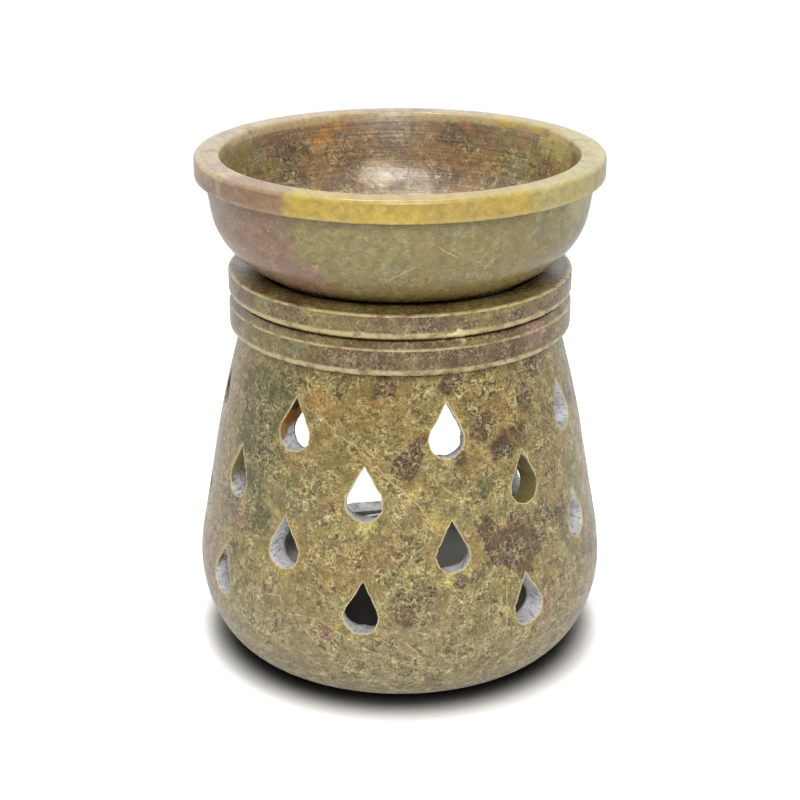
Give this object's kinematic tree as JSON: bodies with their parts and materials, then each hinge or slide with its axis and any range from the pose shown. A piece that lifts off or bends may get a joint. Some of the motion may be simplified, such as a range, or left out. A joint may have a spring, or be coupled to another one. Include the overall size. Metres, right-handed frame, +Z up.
{
  "type": "essential oil burner",
  "caption": "Turned soapstone oil burner: jar-shaped pierced body with a back door, a lift-off oil bowl and a tealight candle.",
  "frame": {"origin": "centre of the flat foot, on the surface that the burner stands on", "axes": "+Z up along the turning axis of both stones, +Y out of the arched candle door at the back, -Y to the front"},
  "size_m": [0.0896, 0.088, 0.11],
  "materials": {
    "soapstone": "polished, mottled olive and brown, raw grey where it is cut",
    "tealight_aluminium": "thin pressed foil, satin",
    "candle_wax": "waxy, slightly translucent",
    "wick_cotton": "braided cotton, waxed",
    "tinned_steel": "dull tin"
  },
  "bodies": {
    "burner": {"burner_body": "soapstone"},
    "bowl": {"oil_bowl": "soapstone"},
    "tealight": {"tealight_cup": "tealight_aluminium", "tealight_wax": "candle_wax", "wick": "wick_cotton", "wick_sustainer": "tinned_steel"}
  },
  "joints": [
    {"name": "bowl_lift", "type": "slide", "parent": "burner", "child": "bowl", "axis": [0, 0, 1], "range_m": [0, 0.06]},
    {"name": "tealight_slide", "type": "slide", "parent": "burner", "child": "tealight", "axis": [0, 0.9397, 0.342], "range_m": [0, 0.076]}
  ]
}
